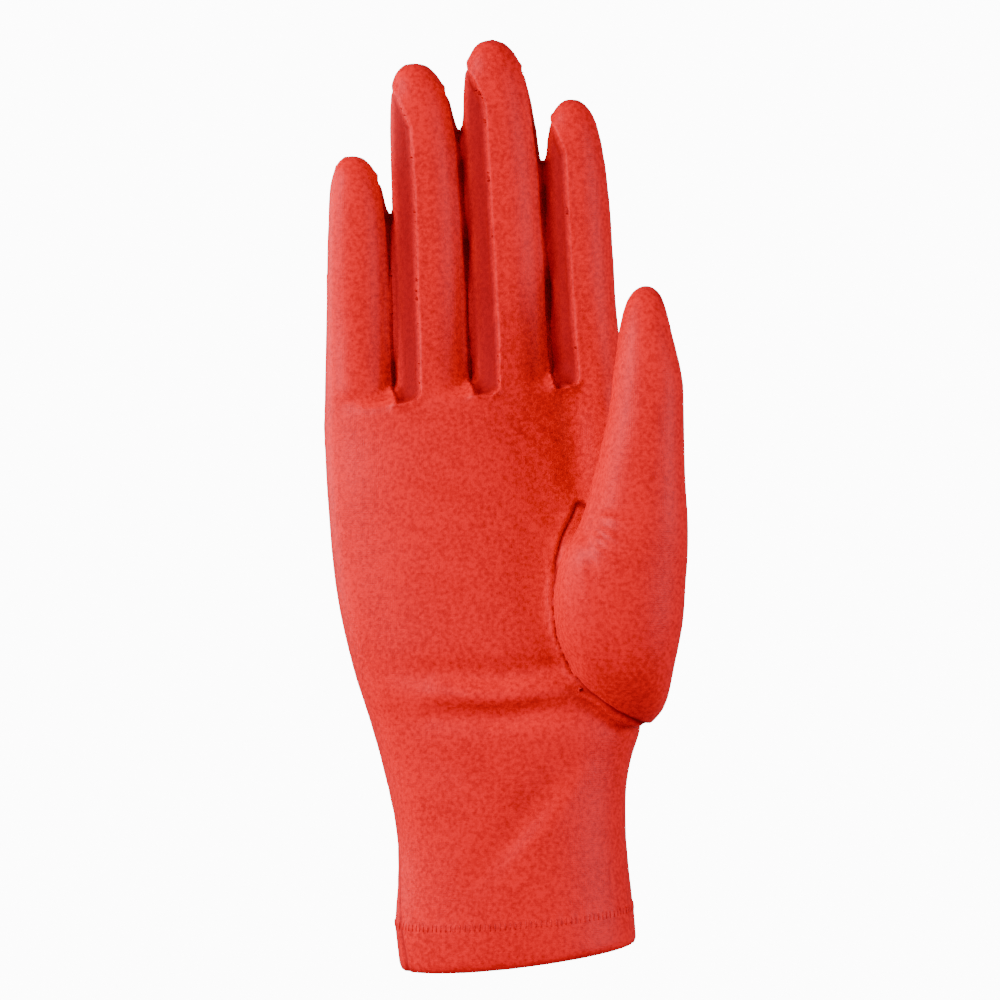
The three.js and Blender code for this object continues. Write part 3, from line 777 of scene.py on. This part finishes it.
def satin(name, look, bright=1.0):
    """Satin with painted shade in its seams and sunk strips, from the mesh's seam attribute, which also
    makes them duller.
    """
    material = bpy.data.materials.new(name)
    material.use_nodes = True
    tree = material.node_tree
    shader = tree.nodes["Principled BSDF"]
    grain = node_with(tree, "Group")
    grain.node_tree = grain_group()
    mottle = grain.outputs["Mottle"]
    seam = node_with(tree, "Attribute")
    seam.attribute_name = "seam"
    shade = [c * bright for c in look.shade[:3]] + [1]
    red = [c * bright for c in look.red[:3]] + [1]
    # deep is the colour of the painted shade in the seams and fourchettes.
    deep = [c * PAINTED_SHADE_BRIGHT for c in look.shade[:3]] + [1]

    spread = ranged(tree, mottle, From_Min=0.36, From_Max=0.6)
    # The seam attribute holds painted shade: where it is high the colour goes towards deep and the satin
    # gets duller.
    painted_shade_share = ranged(tree, seam.outputs["Fac"], From_Min=0.05, To_Max=0.8)
    cloth = blended(tree, spread, shade, red)
    feed(tree, shader.inputs["Base Color"], blended(tree, painted_shade_share, cloth, deep))

    rough = ranged(tree, mottle, To_Min=look.roughness + SMOOTHER, To_Max=look.roughness + ROUGHER)
    feed(tree, shader.inputs["Roughness"], calculated(tree, "MULTIPLY_ADD", painted_shade_share, SEAM_ROUGHER, rough))

    bump = node_with(tree, "Bump", Strength=look.grain, Distance=KNIT_DEPTH)
    feed(tree, bump.inputs["Height"], grain.outputs["Height"])
    feed(tree, shader.inputs["Normal"], bump.outputs["Normal"])

    shine = {
        "Sheen Weight": look.sheen, "Sheen Roughness": 0.35, "Sheen Tint": [1, 0.25, 0.35, 1],
        "Specular Tint": [1, 0.3, 0.38, 1], "IOR": 1.5, "Specular IOR Level": 0.28, "Anisotropic": 0.3,
    }
    for socket, value in shine.items():
        shader.inputs[socket].default_value = value
    return material


def get_material(name, look, bright=1.0):
    return bpy.data.materials.get("glove_" + name) or satin("glove_" + name, look, bright)


class GloveClothSettings(bpy.types.PropertyGroup):
    """How the cloth skin is made."""

    voxel: bpy.props.FloatProperty(
        name="Voxel", description="Size of the skin's cells", default=0.00108, min=0.0004, unit="LENGTH")
    inset: bpy.props.FloatProperty(
        name="Inset", description="How far the forms draw in while they grow together", default=0.00035,
        unit="LENGTH")
    rounds: bpy.props.IntProperty(
        name="Rounds", description="Rounds of smoothing after the forms grow together", default=12)
    wall: bpy.props.FloatProperty(
        name="Wall", description="Thickness of the cloth shown", default=0.0009, unit="LENGTH")
    groove: bpy.props.FloatProperty(
        name="Groove", description="Depth of a seam's line", default=0.0005, unit="LENGTH")
    ridge: bpy.props.FloatProperty(
        name="Ridge", description="Height of the cloth beside a seam", default=0.00028, unit="LENGTH")
    rim: bpy.props.FloatProperty(
        name="Rim", description="Height of the rolled rim beside a fourchette", default=0.0008,
        unit="LENGTH")
    sunk: bpy.props.FloatProperty(
        name="Sunk", description="How deep a fourchette lies between its rims", default=0.0011,
        unit="LENGTH")
    hem_step: bpy.props.FloatProperty(
        name="Hem step", description="Extra thickness of the hem", default=0.0002, unit="LENGTH")


class GloveStitchSettings(bpy.types.PropertyGroup):
    """The hem's stitches."""

    length: bpy.props.FloatProperty(
        name="Length", description="Length of a stitch", default=0.0019, unit="LENGTH")
    apart: bpy.props.FloatProperty(
        name="Apart", description="Distance from stitch to stitch", default=0.00125, unit="LENGTH")
    thick: bpy.props.FloatProperty(
        name="Thick", description="Thickness of the thread", default=0.00038, unit="LENGTH")
    drop: bpy.props.FloatProperty(
        name="Drop", description="Distance of the row below the hem's upper line", default=0.0006,
        unit="LENGTH")


class GloveLookSettings(bpy.types.PropertyGroup):
    """Colour and sheen of the satin."""

    red: bpy.props.FloatVectorProperty(
        name="Red", description="Main colour", size=3, subtype="COLOR", default=(1.0, 0.001, 0.009))
    shade: bpy.props.FloatVectorProperty(
        name="Shade", description="Darker part of the mottling", size=3, subtype="COLOR",
        default=(0.66, 0.0005, 0.005))
    roughness: bpy.props.FloatProperty(
        name="Roughness", description="Roughness of the satin", default=0.42, subtype="FACTOR")
    sheen: bpy.props.FloatProperty(
        name="Sheen", description="Strength of the soft sheen", default=0.05, subtype="FACTOR")
    grain: bpy.props.FloatProperty(
        name="Grain", description="Strength of the fine knit", default=0.35, subtype="FACTOR")


class GloveStageSettings(bpy.types.PropertyGroup):
    """Camera, lights and backdrop."""

    distance: bpy.props.FloatProperty(
        name="Distance", description="Camera distance", default=0.8333, unit="LENGTH")
    lens: bpy.props.FloatProperty(name="Lens", description="Focal length in mm", default=120.0)
    key: bpy.props.FloatProperty(name="Key", description="Power of the key light", default=12.0)
    fill: bpy.props.FloatProperty(name="Fill", description="Power of the fill light", default=6.5)
    ambient: bpy.props.FloatProperty(name="Ambient", description="Light from the surround", default=0.16)
    white: bpy.props.FloatProperty(name="White", description="Brightness of the backdrop", default=12.0)


class GLOVE_OT_cloth(bpy.types.Operator):
    """Builds the trank, the thumb and the three fourchettes as one run of cloth parted at its seams"""

    bl_idname = "glove.cloth"
    bl_label = "Cloth pieces"

    def execute(self, context):
        cloth = context.scene.glove_cloth
        look = context.scene.glove_look
        skin = glove_skin(cloth)
        refine_seams(skin)
        made = split_skin(skin, *shape_skin(skin, cloth))
        satin_red = get_material("satin", look)
        for piece, (_, nodes, flat, area) in zip(made, CLOTH):
            apply(piece, "SOLIDIFY", thickness=cloth.wall, offset=-1.0, use_even_offset=False)
            finish_piece(piece, satin_red, *nodes)
        return {"FINISHED"}


class GLOVE_OT_hem(bpy.types.Operator):
    """Builds the inner layer of the turned-up hem"""

    bl_idname = "glove.hem"
    bl_label = "Hem"

    def execute(self, context):
        look = context.scene.glove_look
        rings = [body_ring(z, inset=inset, sides=HEM_SIDES)[::-1] for z, inset in HEM_RINGS]
        hem = loft("hem_inner_layer", rings, capped=False)
        apply(hem, "SOLIDIFY", thickness=context.scene.glove_cloth.wall, offset=1.0)
        apply(hem, "SUBSURF", levels=1)
        finish_piece(hem, get_material("satin_hem", look, TRIM_BRIGHT), "cuff_hem")
        return {"FINISHED"}


def capsule(length, thick):
    """One stitch along Z, its middle at the origin."""
    angle = 2 * np.pi * np.arange(STITCH_SIDES) / STITCH_SIDES
    x, y = np.cos(angle), np.sin(angle)
    return [
        np.stack([x * wide * thick / 2, y * wide * thick / 2, np.full(STITCH_SIDES, up * length)], 1)
        for up, wide in STITCH_ROWS
    ]


class GLOVE_OT_stitches(bpy.types.Operator):
    """Sews the hem's row of short upright stitches"""

    bl_idname = "glove.stitches"
    bl_label = "Hem stitches"

    def execute(self, context):
        thread = context.scene.glove_stitch
        trank = bpy.data.objects["trank"]
        corners = [v.co for v in trank.data.vertices]
        skin = BVHTree.FromPolygons(corners, [tuple(p.vertices) for p in trank.data.polygons])
        height = HEM_DEPTH - thread.drop / MM
        ring = body_ring(height, sides=ROW_SIDES)
        around = np.concatenate([[0], np.cumsum(np.linalg.norm(np.roll(ring, -1, 0) - ring, axis=1))])
        count = round(around[-1] * MM / thread.apart)
        closed = np.concatenate([ring, ring[:1]])
        upright = Vector((0, 0, 1))
        points, faces = [], []
        for n in range(count):
            place = around[-1] * n / count
            spot = np.array([np.interp(place, around, closed[:, k]) for k in range(3)]) * MM
            middle = Vector((body_middle(height) * MM, 0, spot[2]))
            outward = (Vector(spot) - middle).normalized()
            hit, normal, _, _ = skin.ray_cast(Vector(spot) + outward * LOOK_FROM, -outward)
            if hit is None:
                raise RuntimeError("a stitch found no cloth")
            along = (upright - normal * normal.z).normalized()
            turn = upright.rotation_difference(along)
            faces += tube_faces(len(STITCH_ROWS), STITCH_SIDES, start=len(points))
            centre = hit - normal * thread.thick * STITCH_SINKS
            for row in capsule(thread.length, thread.thick):
                points += [tuple(turn @ Vector(p) + centre) for p in row]
        stitches = new_object("hem_stitches", points, faces)
        finish_piece(stitches, get_material("thread", context.scene.glove_look, TRIM_BRIGHT))
        return {"FINISHED"}


def area_light(name, place, target, size, power, colour=(1, 1, 1)):
    light = bpy.data.lights.new(name, "AREA")
    light.size = size
    light.energy = power
    light.color = colour
    obj = bpy.data.objects.new(name, light)
    bpy.context.scene.collection.objects.link(obj)
    obj.location = place
    obj.rotation_euler = (Vector(target) - Vector(place)).to_track_quat("-Z", "Y").to_euler()
    return obj


class GLOVE_OT_stage(bpy.types.Operator):
    """Sets up the camera, the studio lights and the white surround"""

    bl_idname = "glove.stage"
    bl_label = "Stage"

    def execute(self, context):
        stage = context.scene.glove_stage
        aim = Vector((-0.0045, -0.005, 0.1175))
        camera = bpy.data.cameras.new("camera")
        camera.lens = stage.lens
        camera.sensor_width = 36
        obj = bpy.data.objects.new("camera", camera)
        context.scene.collection.objects.link(obj)
        obj.location = aim + Vector((0, -stage.distance, 0))
        obj.rotation_euler = (math.pi / 2, 0, 0)
        context.scene.camera = obj
        area_light("key", (-0.7, -0.48, 0.42), aim, size=0.45, power=stage.key)
        area_light("fill", (0.78, -0.4, 0.12), aim, size=0.5, power=stage.fill)
        rim_power = stage.key * 0.14
        area_light("edge", (-0.5, 0.15, 0.2), aim, size=0.4, power=rim_power, colour=(1, 0.9, 0.95))
        world = bpy.data.worlds.new("surround")
        context.scene.world = world
        world.use_nodes = True
        nodes, links = world.node_tree.nodes, world.node_tree.links
        soft = nodes["Background"]
        soft.inputs["Color"].default_value = (1, 1, 1, 1)
        soft.inputs["Strength"].default_value = stage.ambient
        white = nodes.new("ShaderNodeBackground")
        white.inputs["Color"].default_value = (1, 1, 1, 1)
        white.inputs["Strength"].default_value = stage.white
        ray = nodes.new("ShaderNodeLightPath")
        both = nodes.new("ShaderNodeMixShader")
        links.new(ray.outputs["Is Camera Ray"], both.inputs[0])
        links.new(soft.outputs[0], both.inputs[1])
        links.new(white.outputs[0], both.inputs[2])
        links.new(both.outputs[0], nodes["World Output"].inputs["Surface"])
        return {"FINISHED"}


class GLOVE_PT_panel(bpy.types.Panel):
    """Buttons and settings of the glove"""

    bl_idname = "GLOVE_PT_panel"
    bl_label = "Dress glove"
    bl_space_type = "VIEW_3D"
    bl_region_type = "UI"
    bl_category = "Glove"

    def draw(self, context):
        layout = self.layout
        for name in ("cloth", "stitch", "look", "stage"):
            settings = getattr(context.scene, "glove_" + name)
            box = layout.box()
            box.label(text=name.title())
            for key in settings.bl_rna.properties.keys():
                if key not in ("rna_type", "name"):
                    box.prop(settings, key)
        for operator in ("cloth", "hem", "stitches", "stage"):
            layout.operator("glove." + operator)


CLASSES = (
    GloveClothSettings, GloveStitchSettings, GloveLookSettings, GloveStageSettings,
    GLOVE_OT_cloth, GLOVE_OT_hem, GLOVE_OT_stitches, GLOVE_OT_stage, GLOVE_PT_panel,
)


def register():
    for cls in CLASSES:
        bpy.utils.register_class(cls)
    bpy.types.Scene.glove_cloth = bpy.props.PointerProperty(type=GloveClothSettings)
    bpy.types.Scene.glove_stitch = bpy.props.PointerProperty(type=GloveStitchSettings)
    bpy.types.Scene.glove_look = bpy.props.PointerProperty(type=GloveLookSettings)
    bpy.types.Scene.glove_stage = bpy.props.PointerProperty(type=GloveStageSettings)


def unregister():
    for name in ("glove_cloth", "glove_stitch", "glove_look", "glove_stage"):
        delattr(bpy.types.Scene, name)
    for cls in reversed(CLASSES):
        bpy.utils.unregister_class(cls)


def main():
    register()
    bpy.ops.glove.cloth()
    bpy.ops.glove.hem()
    bpy.ops.glove.stitches()
    bpy.ops.glove.stage()


if __name__ == "__main__":
    main()
